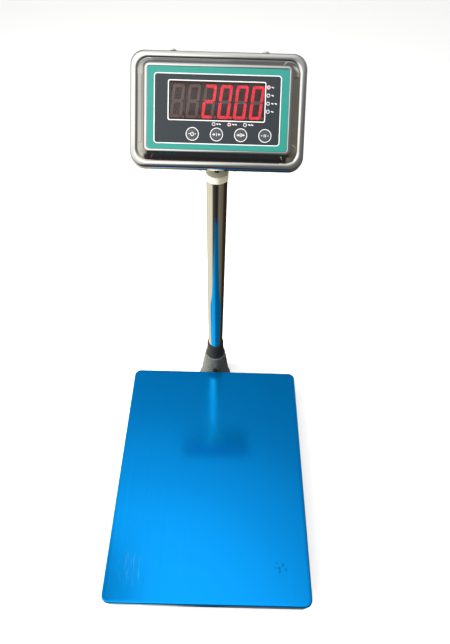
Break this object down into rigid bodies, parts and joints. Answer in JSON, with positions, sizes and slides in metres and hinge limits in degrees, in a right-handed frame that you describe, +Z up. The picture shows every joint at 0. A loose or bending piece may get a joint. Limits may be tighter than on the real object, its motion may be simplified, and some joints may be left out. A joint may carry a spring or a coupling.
{
  "type": "bench scale",
  "caption": "Platform bench scale with a film-covered pan on a load-cell frame, levelling feet, a rear column and a tilting, swivelling LED indicator.",
  "frame": {"origin": "on the floor, under the middle of the whole object's box", "axes": "+Z up, +X to the operator's right, +Y from the operator towards the column"},
  "size_m": [0.4, 0.6236, 0.8142],
  "materials": {
    "stainless_pan": "brushed stainless sheet",
    "stainless_shell": "bright polished stainless sheet",
    "film": "blue low-tack protective film, semi-gloss",
    "frame_paint": "grey powder coat",
    "cell_aluminium": "machined and clear anodised",
    "zinc_steel": "zinc plated",
    "rubber": "moulded rubber",
    "column_steel": "mirror-polished stainless tube",
    "foot_casting": "dark grey hammertone enamel on a casting",
    "black_steel": "black oxide",
    "head_plastic": "cream moulded plastic",
    "black_plastic": "moulded black plastic",
    "vial": "yellow-green liquid in a clear vial",
    "front_panel": "printed film, green border round a dark field",
    "key_film": "printed film",
    "display_filter": "smoked red filter",
    "board": "green circuit board",
    "digit_block": "digit modules with red light-emitting segments",
    "lamp": "red light-emitting lamps",
    "brass": "turned brass",
    "battery_case": "shrink-wrapped battery pack",
    "cable_jacket": "soft grey-black cable jacket"
  },
  "bodies": {
    "base": {"load_cell": "cell_aluminium", "load_cell_lower_spacer": "zinc_steel", "load_cell_lower_bolts": "zinc_steel", "base_side_rails": "frame_paint", "base_cross_rails": "frame_paint", "base_centre_beam": "frame_paint", "rail_end_caps": "black_plastic", "overload_stops": "zinc_steel", "overload_stop_nuts": "zinc_steel", "levelling_lock_nuts": "zinc_steel", "bubble_level_body": "black_plastic", "bubble_level_vial": "vial", "column_bracket": "frame_paint", "column_foot": "foot_casting", "column_foot_bolts": "zinc_steel", "column_clamp_screw": "black_steel", "column_tube": "column_steel", "cable_grommet": "rubber", "signal_cable": "cable_jacket"},
    "load_frame": {"load_frame_side_tubes": "frame_paint", "load_frame_cross_tubes": "frame_paint", "load_frame_plate": "frame_paint", "load_cell_upper_spacer": "zinc_steel", "load_cell_upper_bolts": "zinc_steel", "pan_pads": "rubber"},
    "pan": {"pan": "stainless_pan", "protective_film": "film"},
    "foot_front_left": {"foot_pad_front_left": "rubber", "foot_stud_front_left": "zinc_steel"},
    "foot_front_right": {"foot_pad_front_right": "rubber", "foot_stud_front_right": "zinc_steel"},
    "foot_rear_left": {"foot_pad_rear_left": "rubber", "foot_stud_rear_left": "zinc_steel"},
    "foot_rear_right": {"foot_pad_rear_right": "rubber", "foot_stud_rear_right": "zinc_steel"},
    "head": {"swivel_head": "head_plastic", "tilt_bolts": "zinc_steel", "cable_loop": "cable_jacket"},
    "knob_left": {"tilt_knob_left": "black_plastic"},
    "knob_right": {"tilt_knob_right": "black_plastic"},
    "indicator": {"tilt_bracket": "zinc_steel", "tilt_bracket_screws": "zinc_steel", "front_shell": "stainless_shell", "rear_shell": "stainless_shell", "shell_gasket": "rubber", "overlay_panel": "front_panel", "display_window": "display_filter", "key_switches": "black_plastic", "display_board": "board", "led_digits": "digit_block", "board_standoffs": "brass", "status_lamps": "lamp", "battery": "battery_case", "case_screws": "zinc_steel", "cable_gland": "black_plastic", "charger_socket": "black_plastic"},
    "power_key": {"key_power": "key_film"},
    "tare_key": {"key_tare": "key_film"},
    "zero_key": {"key_zero": "key_film"},
    "hold_key": {"key_hold": "key_film"}
  },
  "joints": [
    {"name": "platform_deflect", "type": "slide", "parent": "base", "child": "load_frame", "axis": [0, 0, 1], "range_m": [-0.001, 0], "stiffness_N_per_m": 980000, "deforming": ["load_cell"]},
    {"name": "pan_lift", "type": "slide", "parent": "load_frame", "child": "pan", "axis": [0, 0, 1], "range_m": [0, 0.06]},
    {"name": "foot_front_left_level", "type": "slide", "parent": "base", "child": "foot_front_left", "axis": [0, 0, 1], "range_m": [-0.008, 0.006]},
    {"name": "foot_front_right_level", "type": "slide", "parent": "base", "child": "foot_front_right", "axis": [0, 0, 1], "range_m": [-0.008, 0.006]},
    {"name": "foot_rear_left_level", "type": "slide", "parent": "base", "child": "foot_rear_left", "axis": [0, 0, 1], "range_m": [-0.008, 0.006]},
    {"name": "foot_rear_right_level", "type": "slide", "parent": "base", "child": "foot_rear_right", "axis": [0, 0, 1], "range_m": [-0.008, 0.006]},
    {"name": "indicator_swivel", "type": "hinge", "parent": "base", "child": "head", "pos_m": [0, 0.22821, 0.663], "axis": [0, 0, 1], "range_deg": [-170, 170]},
    {"name": "tilt_knob_left_turn", "type": "hinge", "parent": "head", "child": "knob_left", "pos_m": [-0.037, 0.23821, 0.681], "axis": [-1, 0, 0], "range_deg": [0, 360]},
    {"name": "tilt_knob_right_turn", "type": "hinge", "parent": "head", "child": "knob_right", "pos_m": [0.037, 0.23821, 0.681], "axis": [1, 0, 0], "range_deg": [0, 360]},
    {"name": "indicator_tilt", "type": "hinge", "parent": "head", "child": "indicator", "pos_m": [0, 0.23821, 0.681], "axis": [1, 0, 0], "range_deg": [-25, 15], "deforming": ["cable_loop"]},
    {"name": "power_key_press", "type": "slide", "parent": "indicator", "child": "power_key", "axis": [0, 0.682, -0.7314], "range_m": [0, 0.0004], "stiffness_N_per_m": 4000},
    {"name": "tare_key_press", "type": "slide", "parent": "indicator", "child": "tare_key", "axis": [0, 0.682, -0.7314], "range_m": [0, 0.0004], "stiffness_N_per_m": 4000},
    {"name": "zero_key_press", "type": "slide", "parent": "indicator", "child": "zero_key", "axis": [0, 0.682, -0.7314], "range_m": [0, 0.0004], "stiffness_N_per_m": 4000},
    {"name": "hold_key_press", "type": "slide", "parent": "indicator", "child": "hold_key", "axis": [0, 0.682, -0.7314], "range_m": [0, 0.0004], "stiffness_N_per_m": 4000}
  ]
}
